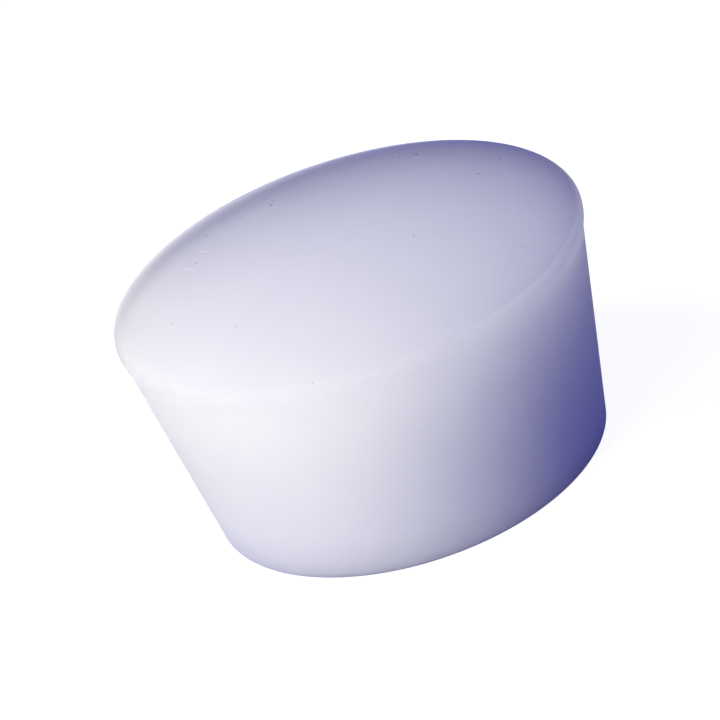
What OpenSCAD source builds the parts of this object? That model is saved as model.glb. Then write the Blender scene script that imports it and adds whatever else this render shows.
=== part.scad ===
// Tapered silicone plug
//
// A stopper moulded in one piece: a straight taper from a flat small end to a
// flat large end. A short upright land runs round the large end, where the
// mould's two halves met and the flash was trimmed off.
// The plug stands on its small end, with its axis on +Z. Lengths are in mm.

/* [Taper] */
// Diameter of the large end, across its land
large_d = 50; // [36:0.5:70]
// Height from the small end's face to the large end's face
height = 25; // [15:0.5:50]
// How far each side leans in towards the small end, as a share of the height
taper_share = 0.16; // [0.06:0.01:0.3]

/* [Large end] */
// Height of the upright land
land_h = 1.8; // [1:0.1:4]
// Radius of the edge between the land and the large end's face
rim_r = 0.6; // [0.2:0.05:0.9]
// Radius of the hollow cove where the land meets the taper
cove_r = 1.2; // [0.6:0.1:3]

/* [Small end] */
// Radius of the edge between the taper and the small end's face
foot_r = 0.5; // [0.2:0.05:1.5]

/* [Finish] */
// Colour of the silicone
silicone = "#E9E8F4"; // ["#E9E8F4":Milky, "#D8D6EC":Lavender, "#B5533C":Red oxide]

/* [Hidden] */

large_r = large_d / 2;
small_r = large_r - taper_share * height;

// How far a rounding runs past the taper, so that the two cross instead of only touching
overrun = 0.002;

// Angle between the taper and the axis, and the directions square to it and down along it
taper = atan(taper_share);
outward = [cos(taper), -sin(taper)];
downward = [-sin(taper), -cos(taper)];

// Small end: its rounded edge is centred above foot_x and meets the taper at foot_top
foot_x = small_r + foot_r * (taper_share - 1 / cos(taper)) + overrun;
foot_top = [foot_x - overrun, foot_r] + foot_r * outward;

// Large end: the land's lower edge stands out from the taper by the lip, and the
// cove leaves the taper at its foot and ends on that edge
lip = land_h * sin(taper);
cove = max(cove_r, lip);
cove_run = sqrt(2 * cove * lip - lip * lip);
cove_foot = [large_r, height - land_h] - lip * outward + cove_run * downward;
cove_centre = cove_foot + (cove - overrun) * outward;

// Half of the plug's section, from the axis outwards
module plug_section() {
    difference() {
        union() {
            polygon([
                [0, 0],
                [foot_x, 0],
                foot_top,
                cove_foot,
                [large_r, cove_foot.y],
                [large_r, height - rim_r],
                [large_r - rim_r, height],
                [0, height],
            ]);
            translate([foot_x, foot_r]) circle(foot_r);
            translate([large_r - rim_r, height - rim_r]) circle(rim_r);
        }
        translate(cove_centre) circle(cove);
    }
}

module plug() {
    color(silicone)
        rotate_extrude($fn = 180)
            plug_section($fn = 64);
}

plug();
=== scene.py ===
import math

import bpy
from mathutils import Matrix, Vector


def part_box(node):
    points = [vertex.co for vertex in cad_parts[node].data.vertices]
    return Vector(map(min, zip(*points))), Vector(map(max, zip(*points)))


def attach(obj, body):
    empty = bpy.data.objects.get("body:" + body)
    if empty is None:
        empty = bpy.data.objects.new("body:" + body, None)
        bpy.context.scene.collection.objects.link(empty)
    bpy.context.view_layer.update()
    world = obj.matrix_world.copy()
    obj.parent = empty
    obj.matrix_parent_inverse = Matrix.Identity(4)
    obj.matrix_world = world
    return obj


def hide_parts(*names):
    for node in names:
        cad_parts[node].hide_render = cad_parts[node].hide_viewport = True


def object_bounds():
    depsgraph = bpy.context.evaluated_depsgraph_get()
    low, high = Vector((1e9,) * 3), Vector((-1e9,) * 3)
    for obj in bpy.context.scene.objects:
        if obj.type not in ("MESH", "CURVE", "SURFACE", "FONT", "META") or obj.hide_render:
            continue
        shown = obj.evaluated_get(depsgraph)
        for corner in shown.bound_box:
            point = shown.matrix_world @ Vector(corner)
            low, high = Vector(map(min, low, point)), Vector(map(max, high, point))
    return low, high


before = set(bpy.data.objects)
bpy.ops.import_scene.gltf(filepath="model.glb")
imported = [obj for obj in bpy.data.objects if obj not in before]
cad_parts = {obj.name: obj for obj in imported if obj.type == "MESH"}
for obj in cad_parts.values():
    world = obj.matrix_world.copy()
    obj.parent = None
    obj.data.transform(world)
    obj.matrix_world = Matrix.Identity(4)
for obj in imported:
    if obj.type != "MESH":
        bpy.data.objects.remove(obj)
cad_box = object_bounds()

MM = 0.001

# The large end's radius, the plug's top and its middle
EDGE = cad_box[1].x
TOP = cad_box[1].z
MIDDLE = Vector((0, 0, (cad_box[0].z + TOP) / 2))

# Sizes of the moulding; its rim, land and cove are a little rounder than in the part's source
TAPER_SHARE = 0.16
LAND_HEIGHT = 1.5 * MM
LEDGE_DROP = 1.1 * MM
RIM_RADIUS = 1.0 * MM
LAND_RADIUS = 2.0 * MM
COVE_RADIUS = 4.0 * MM
FOOT_RADIUS = 0.5 * MM

# Fineness of the mesh
ROW_SPACING = 0.8 * MM
SEGMENTS = 320
CORNER_STEPS = 10
MERGE_DISTANCE = 0.001 * MM

# The photograph's frame and the camera that took it
PICTURE = 720
FOCAL_PIXELS = 4594
SENSOR_WIDTH = 36
CAMERA_DISTANCE = 475 * MM
CAMERA_ELEVATION = math.radians(27.37)
CAMERA_ROLL = math.radians(-18.78)
PLUG_MIDDLE_PIXEL = (378.8, 363.2)

# How far light wanders inside at each share of the height, in units of 240 mm
REACH = (
    (0.0, 0.012), (0.08, 0.042), (0.25, 0.06), (0.5, 0.11),
    (0.75, 0.2), (0.9, 0.36), (0.95, 0.42), (1.0, 0.46),
)
REACH_UNIT = 240.0

# Colours of the silicone, of the marks on it, and of the painted shade line and painted glow on its rim
CLOUD_COLOURS = ("#EAEAF8", "#E4E4F5")
SPECK_AND_SHADE_COLOUR = "#9A9AB2"
NICK_COLOUR = "#F5F5FF"
PAINTED_RIM_GLOW_COLOUR = "#F8F8FD"
SILICONE_IOR = 1.41

# The cloudy patches, the rougher patches and the grain
CLOUD_SIZE = 9 * MM
PATCH_SIZE = 3 * MM
PATCH_ROUGHNESS = (0.62, 0.78)
GRAIN_SIZE = 0.3 * MM
GRAIN_DEPTH = 0.02 * MM

# Faint dust: the size of its cells, a speck's soft edge as shares of a cell, and the cells left clean
DUST_CELL = 1.7 * MM
DUST_EDGE = (0.07, 0.04)
DUST_CLEAN_SHARE = 0.75
DUST_STRENGTH = 0.6

# Small marks on the large end's face: their places in the photograph and their radii
DARK_SPECKS = (
    ((196.1, 263.1), 0.17 * MM),
    ((271.2, 205.3), 0.18 * MM),
    ((273.4, 200.7), 0.12 * MM),
    ((206.5, 235.9), 0.13 * MM),
    ((416.4, 154.2), 0.20 * MM),
    ((399.6, 156.8), 0.14 * MM),
    ((478.0, 174.0), 0.16 * MM),
    ((499.4, 159.0), 0.14 * MM),
    ((413.7, 235.6), 0.13 * MM),
    ((522.4, 246.3), 0.12 * MM),
    ((242.5, 218.0), 0.12 * MM),
    ((171.6, 323.6), 0.13 * MM),
    ((235.6, 326.6), 0.13 * MM),
    ((528.8, 283.8), 0.13 * MM),
)
PALE_NICKS = (
    ((200.5, 251.9), (208.5, 251.4), 0.16 * MM),
    ((184.5, 267.8), (194.0, 269.8), 0.18 * MM),
    ((413.2, 156.8), (419.0, 157.6), 0.14 * MM),
    ((552.8, 239.0), (553.4, 239.0), 0.12 * MM),
    ((525.4, 214.4), (527.0, 214.8), 0.11 * MM),
)

# The share of a mark's radius that has its full colour
SPECK_CORE = 0.5
NICK_CORE = 0.4

# The stretch of the rim with a painted glow, a paler colour that stands in for light: its middle, the cosines
# between which its ends fade, its limits and its reach
PALE_AZIMUTH = 345
PALE_FADE = (0.5, 0.97)
PALE_RADII = (EDGE - 0.5 * MM, EDGE - 0.15 * MM)
PALE_HEIGHTS = (TOP - 4.5 * MM, TOP - 0.8 * MM)
PALE_WALL_TOP = TOP - 1.1 * MM
PALE_REACH = 0.13

# The thin line of painted shade along that stretch's inner edge, in the same terms
CREASE_SHADE_AZIMUTH = 315
CREASE_SHADE_FADE = (0.77, 0.97)
CREASE_SHADE_RADIUS = EDGE - 0.58 * MM
CREASE_SHADE_HALF_WIDTH = 0.07 * MM
CREASE_SHADE_BOTTOM = TOP - 0.5 * MM
CREASE_SHADE_STRENGTH = 0.06

# Gloss of the skin, of the rim and of its paler stretch, and the radii where skin becomes rim
SKIN_GLOSS = 0.06
RIM_GLOSS = 0.2
PALE_GLOSS = 1.0
GLOSS_RADII = (EDGE - 0.7 * MM, EDGE - 0.3 * MM)

# The table, the colours of the light it throws back, and how white it is seen near the plug and further out
TABLE_RADIUS = 600 * MM
TABLE_CORNERS = 96
TABLE_GAP = 0.02 * MM
FOOT_LIGHT = "#8E8EBC"
TABLE_LIGHT = "#898989"
FOOT_LIGHT_RADII = (24 * MM, 30 * MM)
TABLE_WHITE = (0.92, 1.0)
TABLE_WHITE_RADII = (30 * MM, 90 * MM)

# Light of the room and of the lamps
WHITE = (1.0, 1.0, 1.0, 1.0)
DIM_VIOLET = (0.25, 0.25, 1.0, 1.0)
ROOM_STRENGTH = 0.44
WARM_WHITE = (1.0, 0.99, 0.76)

# A Mix node's sockets for colours and for plain numbers, which bear the same names
COLOUR_A, COLOUR_B, COLOUR_OUT = 6, 7, 2
NUMBER_A, NUMBER_B, NUMBER_OUT = 2, 3, 0


def linear(hex_colour):
    """An sRGB hex value as linear red, green, blue and full alpha."""
    shares = [int(hex_colour[k:k + 2], 16) / 255 for k in (1, 3, 5)]
    return (*(c / 12.92 if c <= 0.04045 else ((c + 0.055) / 1.055) ** 2.4 for c in shares), 1.0)


def heading(azimuth, elevation=0):
    """The direction away from the plug at these angles in degrees; azimuth is counted from +X towards +Y."""
    a, e = math.radians(azimuth), math.radians(elevation)
    return Vector((math.cos(a) * math.cos(e), math.sin(a) * math.cos(e), math.sin(e)))


def add(tree, kind, inputs=None, **settings):
    """Adds a node with its settings; each input is a value, or a socket to link from."""
    node = tree.nodes.new(kind)
    for name, value in settings.items():
        setattr(node, name, value)
    for name, value in (inputs or {}).items():
        if isinstance(value, bpy.types.NodeSocket):
            tree.links.new(value, node.inputs[name])
        else:
            node.inputs[name].default_value = value
    return node


def bare_material(name):
    """A material with an empty node tree."""
    material = bpy.data.materials.new(name)
    material.use_nodes = True
    material.node_tree.nodes.clear()
    return material


def place_camera():
    """The photograph's camera, which sees the plug's middle at its pixel."""
    c, s = math.cos(CAMERA_ELEVATION), math.sin(CAMERA_ELEVATION)
    turn = Matrix(((1, 0, 0), (0, s, -c), (0, c, s))) @ Matrix.Rotation(CAMERA_ROLL, 3, "Z")
    scale = CAMERA_DISTANCE / FOCAL_PIXELS
    across = (PLUG_MIDDLE_PIXEL[0] - PICTURE / 2) * scale
    upward = (PICTURE / 2 - PLUG_MIDDLE_PIXEL[1]) * scale
    data = bpy.data.cameras.new("camera")
    data.sensor_width = SENSOR_WIDTH
    data.lens = SENSOR_WIDTH * FOCAL_PIXELS / PICTURE
    data.clip_start = 10 * MM
    data.clip_end = 10
    camera = bpy.data.objects.new("camera", data)
    camera.matrix_world = (
        Matrix.Translation(MIDDLE - turn @ Vector((across, upward, -CAMERA_DISTANCE))) @ turn.to_4x4()
    )
    bpy.context.collection.objects.link(camera)
    bpy.context.scene.camera = camera
    return camera


def on_large_face(camera, pixel):
    """The point of the large end's face that the camera sees at a pixel of the photograph."""
    sight = Vector(((pixel[0] - PICTURE / 2) / FOCAL_PIXELS, (PICTURE / 2 - pixel[1]) / FOCAL_PIXELS, -1))
    sight.rotate(camera.matrix_world.to_quaternion())
    start = camera.matrix_world.translation
    return start + sight * ((TOP - start.z) / sight.z)


def plug_tree():
    """Geometry Nodes: the plug's half section with rounded corners, swept round its axis."""
    tree = bpy.data.node_groups.new("moulded_plug", "GeometryNodeTree")
    for name in ("Large Radius", "Small Radius", "Height", "Land Foot", "Ledge Radius", "Ledge Height",
                 "Rim Radius", "Land Radius", "Cove Radius", "Foot Radius", "Row Spacing"):
        tree.interface.new_socket(name, in_out="INPUT", socket_type="NodeSocketFloat")
    tree.interface.new_socket("Segments", in_out="INPUT", socket_type="NodeSocketInt")
    tree.interface.new_socket("Silicone", in_out="INPUT", socket_type="NodeSocketMaterial")
    tree.interface.new_socket("Plug", in_out="OUTPUT", socket_type="NodeSocketGeometry")
    size = add(tree, "NodeGroupInput").outputs

    # Corners from the large end's middle outwards, down the side and in to the small end's middle
    corners = (
        {"Y": size["Height"]},
        {"X": size["Large Radius"], "Y": size["Height"]},
        {"X": size["Large Radius"], "Y": size["Land Foot"]},
        {"X": size["Ledge Radius"], "Y": size["Ledge Height"]},
        {"X": size["Small Radius"]},
        {},
    )
    roundings = {
        1: size["Rim Radius"],
        2: size["Land Radius"],
        3: size["Cove Radius"],
        4: size["Foot Radius"],
    }
    index = add(tree, "GeometryNodeInputIndex").outputs[0]
    place = add(tree, "GeometryNodeIndexSwitch", {"Index": index}, data_type="VECTOR")
    rounding = add(tree, "GeometryNodeIndexSwitch", {"Index": index}, data_type="FLOAT")
    for switch in (place, rounding):
        while len(switch.index_switch_items) < len(corners):
            switch.index_switch_items.new()
    for k, corner in enumerate(corners):
        tree.links.new(add(tree, "ShaderNodeCombineXYZ", corner).outputs[0], place.inputs[k + 1])
        if k in roundings:
            tree.links.new(roundings[k], rounding.inputs[k + 1])

    line = add(tree, "GeometryNodeMeshLine", {"Count": len(corners)}, mode="OFFSET")
    section = add(tree, "GeometryNodeMeshToCurve", {"Mesh": line.outputs[0]})
    section = add(tree, "GeometryNodeSetPosition",
                  {"Geometry": section.outputs[0], "Position": place.outputs[0]})
    section = add(tree, "GeometryNodeFilletCurve",
                  {"Curve": section.outputs[0], "Count": CORNER_STEPS, "Radius": rounding.outputs[0],
                   "Limit Radius": True},
                  mode="POLY")

    # Rows along the straight stretches, so that no face is long and thin
    here = add(tree, "GeometryNodeInputPosition").outputs[0]
    following = add(tree, "GeometryNodeOffsetPointInCurve", {"Offset": 1}).outputs["Point Index"]
    there = add(tree, "GeometryNodeFieldAtIndex", {"Value": here, "Index": following},
                data_type="FLOAT_VECTOR")
    span = add(tree, "ShaderNodeVectorMath", {0: here, 1: there.outputs[0]}, operation="DISTANCE")
    rows = add(tree, "ShaderNodeMath", {0: span.outputs["Value"], 1: size["Row Spacing"]}, operation="DIVIDE")
    section = add(tree, "GeometryNodeSubdivideCurve", {"Curve": section.outputs[0], "Cuts": rows.outputs[0]})

    # The sweep lays a section's Y downwards and counts its X from the ring, so the section is turned to suit
    inward = add(tree, "ShaderNodeMath", {0: size["Large Radius"], 1: -1.0}, operation="MULTIPLY").outputs[0]
    section = add(tree, "GeometryNodeTransform",
                  {"Geometry": section.outputs[0], "Rotation": (math.pi, 0.0, 0.0),
                   "Translation": add(tree, "ShaderNodeCombineXYZ", {"X": inward}).outputs[0]})
    ring = add(tree, "GeometryNodeCurvePrimitiveCircle",
               {"Resolution": size["Segments"], "Radius": size["Large Radius"]})
    swept = add(tree, "GeometryNodeCurveToMesh",
                {"Curve": ring.outputs[0], "Profile Curve": section.outputs[0]})
    closed = add(tree, "GeometryNodeMergeByDistance",
                 {"Geometry": swept.outputs[0], "Distance": MERGE_DISTANCE})
    smooth = add(tree, "GeometryNodeSetShadeSmooth", {"Geometry": closed.outputs[0]})
    real = add(tree, "GeometryNodeRealizeInstances", {"Geometry": smooth.outputs[0]})
    dressed = add(tree, "GeometryNodeSetMaterial",
                  {"Geometry": real.outputs[0], "Material": size["Silicone"]})
    add(tree, "NodeGroupOutput", {"Plug": dressed.outputs[0]})
    return tree


def make_plug(material):
    """The plug as a plain mesh, as wide and as high as the solid it stands in for."""
    low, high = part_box("plug")
    radius, height = (high.x - low.x) / 2, high.z - low.z
    values = {
        "Large Radius": radius,
        "Small Radius": radius - height * TAPER_SHARE,
        "Height": height,
        "Land Foot": height - LAND_HEIGHT,
        "Ledge Radius": radius - (LAND_HEIGHT + LEDGE_DROP) * TAPER_SHARE,
        "Ledge Height": height - LAND_HEIGHT - LEDGE_DROP,
        "Rim Radius": RIM_RADIUS,
        "Land Radius": LAND_RADIUS,
        "Cove Radius": COVE_RADIUS,
        "Foot Radius": FOOT_RADIUS,
        "Row Spacing": ROW_SPACING,
        "Segments": SEGMENTS,
        "Silicone": material,
    }
    seed = bpy.data.objects.new("plug_seed", bpy.data.meshes.new("plug_seed"))
    bpy.context.collection.objects.link(seed)
    modifier = seed.modifiers.new("moulded_plug", "NODES")
    modifier.node_group = plug_tree()
    for item in modifier.node_group.interface.items_tree:
        if item.in_out == "INPUT":
            modifier[item.identifier] = values[item.name]
    shape = bpy.data.meshes.new_from_object(seed.evaluated_get(bpy.context.evaluated_depsgraph_get()))
    bpy.data.objects.remove(seed)
    plug = bpy.data.objects.new("moulded_plug", shape)
    bpy.context.collection.objects.link(plug)
    return plug


def milky_silicone(camera):
    """Milky silicone rubber: light wanders far inside, so it glows by the lamps and is violet elsewhere."""
    material = bare_material("milky_silicone_rubber")
    tree = material.node_tree
    place = add(tree, "ShaderNodeTexCoord").outputs["Object"]

    # Light goes furthest at the large end, and comes out near where it went in at the small end
    height = add(tree, "ShaderNodeSeparateXYZ", {0: place}).outputs["Z"]
    share = add(tree, "ShaderNodeMath", {0: height, 1: TOP}, operation="DIVIDE").outputs[0]
    reach = add(tree, "ShaderNodeFloatCurve", {"Value": share})
    curve = reach.mapping.curves[0]
    curve.points[0].location = REACH[0]
    curve.points[-1].location = REACH[-1]
    for part, value in REACH[1:-1]:
        curve.points.new(part, value)
    reach.mapping.update()

    # Cloudy patches
    cloud = add(tree, "ShaderNodeTexNoise", {"Vector": place, "Scale": 1 / CLOUD_SIZE, "Detail": 2.0})
    tone = add(tree, "ShaderNodeMix",
               {"Factor": cloud.outputs["Fac"], COLOUR_A: linear(CLOUD_COLOURS[0]),
                COLOUR_B: linear(CLOUD_COLOURS[1])},
               data_type="RGBA").outputs[COLOUR_OUT]

    # Faint dust, in one cell of four
    cells = add(tree, "ShaderNodeTexVoronoi", {"Vector": place, "Scale": 1 / DUST_CELL}).outputs
    near = add(tree, "ShaderNodeMapRange",
               {"Value": cells["Distance"], "From Min": DUST_EDGE[0], "From Max": DUST_EDGE[1]}).outputs[0]
    chance = add(tree, "ShaderNodeSeparateColor", {0: cells["Color"]}).outputs[0]
    chosen = add(tree, "ShaderNodeMapRange",
                 {"Value": chance, "From Min": DUST_CLEAN_SHARE, "To Max": DUST_STRENGTH}).outputs[0]
    dark = add(tree, "ShaderNodeMath", {0: near, 1: chosen}, operation="MULTIPLY").outputs[0]

    # The larger specks and nicks on the large end, where the photograph shows them
    marks = []
    for pixel, size in DARK_SPECKS:
        away = add(tree, "ShaderNodeVectorMath", {0: place, 1: on_large_face(camera, pixel)},
                   operation="DISTANCE").outputs["Value"]
        spot = add(tree, "ShaderNodeMapRange",
                   {"Value": away, "From Min": size, "From Max": SPECK_CORE * size}).outputs[0]
        dark = add(tree, "ShaderNodeMath", {0: dark, 1: spot}, operation="MAXIMUM").outputs[0]
    for start, end, size in PALE_NICKS:
        start, end = on_large_face(camera, start), on_large_face(camera, end)
        half = (end - start) / 2
        offset = add(tree, "ShaderNodeVectorMath", {0: place, 1: start + half},
                     operation="SUBTRACT").outputs[0]
        along = add(tree, "ShaderNodeVectorMath", {0: offset, 1: half / half.length_squared},
                    operation="DOT_PRODUCT").outputs["Value"]
        held = add(tree, "ShaderNodeClamp", {"Value": along, "Min": -1.0, "Max": 1.0}).outputs[0]
        nearest = add(tree, "ShaderNodeVectorMath", {0: half, "Scale": held}, operation="SCALE").outputs[0]
        away = add(tree, "ShaderNodeVectorMath", {0: offset, 1: nearest},
                   operation="DISTANCE").outputs["Value"]
        pale = add(tree, "ShaderNodeMapRange",
                   {"Value": away, "From Min": size, "From Max": NICK_CORE * size}).outputs[0]
        marks.append((pale, NICK_COLOUR))
    marks.append((dark, SPECK_AND_SHADE_COLOUR))

    # Along the rim's right-hand stretch light comes out nearer to where it went in, and the rim there is
    # painted paler as a glow of light
    flat = add(tree, "ShaderNodeVectorMath", {0: place, 1: (1.0, 1.0, 0.0)}, operation="MULTIPLY").outputs[0]
    radius = add(tree, "ShaderNodeVectorMath", {0: flat}, operation="LENGTH").outputs["Value"]
    facing = add(tree, "ShaderNodeVectorMath", {0: flat}, operation="NORMALIZE").outputs[0]
    turned = add(tree, "ShaderNodeVectorMath", {0: facing, 1: heading(PALE_AZIMUTH)},
                 operation="DOT_PRODUCT").outputs["Value"]
    stretch = add(tree, "ShaderNodeMapRange",
                  {"Value": turned, "From Min": PALE_FADE[0], "From Max": PALE_FADE[1]}).outputs[0]
    outer = add(tree, "ShaderNodeMapRange",
                {"Value": radius, "From Min": PALE_RADII[0], "From Max": PALE_RADII[1]}).outputs[0]
    upper = add(tree, "ShaderNodeMapRange",
                {"Value": height, "From Min": PALE_HEIGHTS[0], "From Max": PALE_HEIGHTS[1]}).outputs[0]
    wall = add(tree, "ShaderNodeMath", {0: height, 1: PALE_WALL_TOP}, operation="LESS_THAN").outputs[0]
    painted_glow_band = add(tree, "ShaderNodeMath", {0: outer, 1: wall}, operation="MAXIMUM").outputs[0]
    for limit in (upper, stretch):
        painted_glow_band = add(tree, "ShaderNodeMath", {0: painted_glow_band, 1: limit}, operation="MULTIPLY").outputs[0]
    reach = add(tree, "ShaderNodeMix",
                {"Factor": painted_glow_band, NUMBER_A: reach.outputs[0], NUMBER_B: PALE_REACH},
                data_type="FLOAT").outputs[NUMBER_OUT]
    scale = add(tree, "ShaderNodeMath", {0: reach, 1: MM}, operation="MULTIPLY").outputs[0]
    # painted glow: the paler colour on this stretch stands in for light coming out of the rim
    marks.append((painted_glow_band, PAINTED_RIM_GLOW_COLOUR))

    # A thin line of painted shade runs along the inner edge of that stretch
    turned = add(tree, "ShaderNodeVectorMath", {0: facing, 1: heading(CREASE_SHADE_AZIMUTH)},
                 operation="DOT_PRODUCT").outputs["Value"]
    length = add(tree, "ShaderNodeMapRange",
                 {"Value": turned, "From Min": CREASE_SHADE_FADE[0], "From Max": CREASE_SHADE_FADE[1]}).outputs[0]
    face = add(tree, "ShaderNodeMath", {0: height, 1: CREASE_SHADE_BOTTOM}, operation="GREATER_THAN").outputs[0]
    crease_shade = add(tree, "ShaderNodeMath", {0: radius, 1: CREASE_SHADE_RADIUS, 2: CREASE_SHADE_HALF_WIDTH},
                 operation="COMPARE").outputs[0]
    for limit in (face, length, CREASE_SHADE_STRENGTH):
        crease_shade = add(tree, "ShaderNodeMath", {0: crease_shade, 1: limit}, operation="MULTIPLY").outputs[0]
    # the line of painted shade takes the specks' dark colour
    marks.append((crease_shade, SPECK_AND_SHADE_COLOUR))

    for mask, colour in marks:
        tone = add(tree, "ShaderNodeMix", {"Factor": mask, COLOUR_A: tone, COLOUR_B: linear(colour)},
                   data_type="RGBA").outputs[COLOUR_OUT]

    # Satin skin: some patches are a little rougher, and the specks are pits in a fine grain
    patch = add(tree, "ShaderNodeTexNoise", {"Vector": place, "Scale": 1 / PATCH_SIZE, "Detail": 2.0})
    rough = add(tree, "ShaderNodeMapRange",
                {"Value": patch.outputs["Fac"], "To Min": PATCH_ROUGHNESS[0], "To Max": PATCH_ROUGHNESS[1]})
    grain = add(tree, "ShaderNodeTexNoise", {"Vector": place, "Scale": 1 / GRAIN_SIZE, "Detail": 3.0})
    pits = add(tree, "ShaderNodeMath", {0: grain.outputs["Fac"], 1: dark}, operation="SUBTRACT").outputs[0]
    bump = add(tree, "ShaderNodeBump", {"Height": pits, "Strength": 0.2, "Distance": GRAIN_DEPTH})

    # The rim shines a little, and most along its paler stretch
    rim_gloss = add(tree, "ShaderNodeMapRange",
                    {"Value": stretch, "To Min": RIM_GLOSS, "To Max": PALE_GLOSS}).outputs[0]
    gloss = add(tree, "ShaderNodeMapRange",
                {"Value": radius, "From Min": GLOSS_RADII[0], "From Max": GLOSS_RADII[1],
                 "To Min": SKIN_GLOSS, "To Max": rim_gloss})

    skin = add(tree, "ShaderNodeBsdfPrincipled", {
        "Base Color": tone,
        "Roughness": rough.outputs[0],
        "IOR": SILICONE_IOR,
        "Specular IOR Level": 0.05,
        "Subsurface Weight": 1.0,
        "Subsurface Radius": (REACH_UNIT, REACH_UNIT, REACH_UNIT),
        "Subsurface Scale": scale,
        "Coat Weight": gloss.outputs[0],
        "Coat Roughness": 0.5,
        "Coat IOR": SILICONE_IOR,
        "Coat Normal": bump.outputs[0],
    })
    add(tree, "ShaderNodeOutputMaterial", {"Surface": skin.outputs[0]})
    return material


def seen_directly(tree):
    """One for a ray from the camera, a mirror or glass, and nought for a ray that carries light."""
    path = add(tree, "ShaderNodeLightPath").outputs
    seen = path["Is Camera Ray"]
    for kind in ("Is Glossy Ray", "Is Transmission Ray"):
        seen = add(tree, "ShaderNodeMath", {0: seen, 1: path[kind]}, operation="MAXIMUM").outputs[0]
    return seen


def white_table():
    """White table top: white with a faint shadow to the eye, and it throws violet light back at the foot."""
    material = bare_material("white_table_top")
    tree = material.node_tree
    place = add(tree, "ShaderNodeTexCoord").outputs["Object"]
    distance = add(tree, "ShaderNodeVectorMath", {0: place}, operation="LENGTH").outputs["Value"]
    white = add(tree, "ShaderNodeMapRange",
                {"Value": distance, "From Min": TABLE_WHITE_RADII[0], "From Max": TABLE_WHITE_RADII[1],
                 "To Min": TABLE_WHITE[0], "To Max": TABLE_WHITE[1]})
    seen = add(tree, "ShaderNodeMath", {0: white.outputs[0], 1: seen_directly(tree)}, operation="MULTIPLY")
    around = add(tree, "ShaderNodeMapRange",
                 {"Value": distance, "From Min": FOOT_LIGHT_RADII[0], "From Max": FOOT_LIGHT_RADII[1]})
    thrown = add(tree, "ShaderNodeMix",
                 {"Factor": around.outputs[0], COLOUR_A: linear(FOOT_LIGHT), COLOUR_B: linear(TABLE_LIGHT)},
                 data_type="RGBA").outputs[COLOUR_OUT]
    top = add(tree, "ShaderNodeBsdfPrincipled", {
        "Base Color": thrown,
        "Roughness": 0.9,
        "Specular IOR Level": 0.0,
        "Emission Color": WHITE,
        "Emission Strength": seen.outputs[0],
    })
    add(tree, "ShaderNodeOutputMaterial", {"Surface": top.outputs[0]})
    return material


def place_table(material):
    """A round table top just under the plug."""
    turns = [2 * math.pi * k / TABLE_CORNERS for k in range(TABLE_CORNERS)]
    ring = [(math.cos(t) * TABLE_RADIUS, math.sin(t) * TABLE_RADIUS, 0) for t in turns]
    shape = bpy.data.meshes.new("table")
    shape.from_pydata(ring, [], [range(TABLE_CORNERS)])
    shape.materials.append(material)
    table = bpy.data.objects.new("table", shape)
    table.location.z = cad_box[0].z - TABLE_GAP
    bpy.context.collection.objects.link(table)


def light_room():
    """White where it is seen, and a dim violet for the light that it gives."""
    world = bpy.data.worlds.new("room")
    bpy.context.scene.world = world
    world.use_nodes = True
    tree = world.node_tree
    tree.nodes.clear()
    dim = add(tree, "ShaderNodeBackground", {"Color": DIM_VIOLET, "Strength": ROOM_STRENGTH})
    white = add(tree, "ShaderNodeBackground", {"Color": WHITE, "Strength": 1.0})
    mixed = add(tree, "ShaderNodeMixShader", {0: seen_directly(tree), 1: dim.outputs[0], 2: white.outputs[0]})
    add(tree, "ShaderNodeOutputWorld", {"Surface": mixed.outputs[0]})


def round_lamp(name, azimuth, elevation, distance, size, power):
    """A round soft lamp that looks at the plug's middle and is not seen itself, nor in the gloss."""
    data = bpy.data.lights.new(name, "AREA")
    data.shape = "DISK"
    data.size = size
    data.energy = power
    data.color = WARM_WHITE
    lamp = bpy.data.objects.new(name, data)
    away = heading(azimuth, elevation)
    lamp.location = MIDDLE + away * distance
    lamp.rotation_mode = "QUATERNION"
    lamp.rotation_quaternion = away.to_track_quat("Z", "Y")
    lamp.visible_camera = False
    lamp.visible_glossy = False
    bpy.context.collection.objects.link(lamp)


camera = place_camera()
plug = make_plug(milky_silicone(camera))
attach(plug, "root")
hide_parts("plug")

place_table(white_table())
light_room()
round_lamp("left_high", azimuth=155, elevation=58, distance=140 * MM, size=50 * MM, power=0.135)
round_lamp("left_low", azimuth=215, elevation=10, distance=300 * MM, size=150 * MM, power=0.38)
round_lamp("front", azimuth=243, elevation=30, distance=140 * MM, size=50 * MM, power=0.084)

bpy.context.scene.view_settings.view_transform = "Standard"
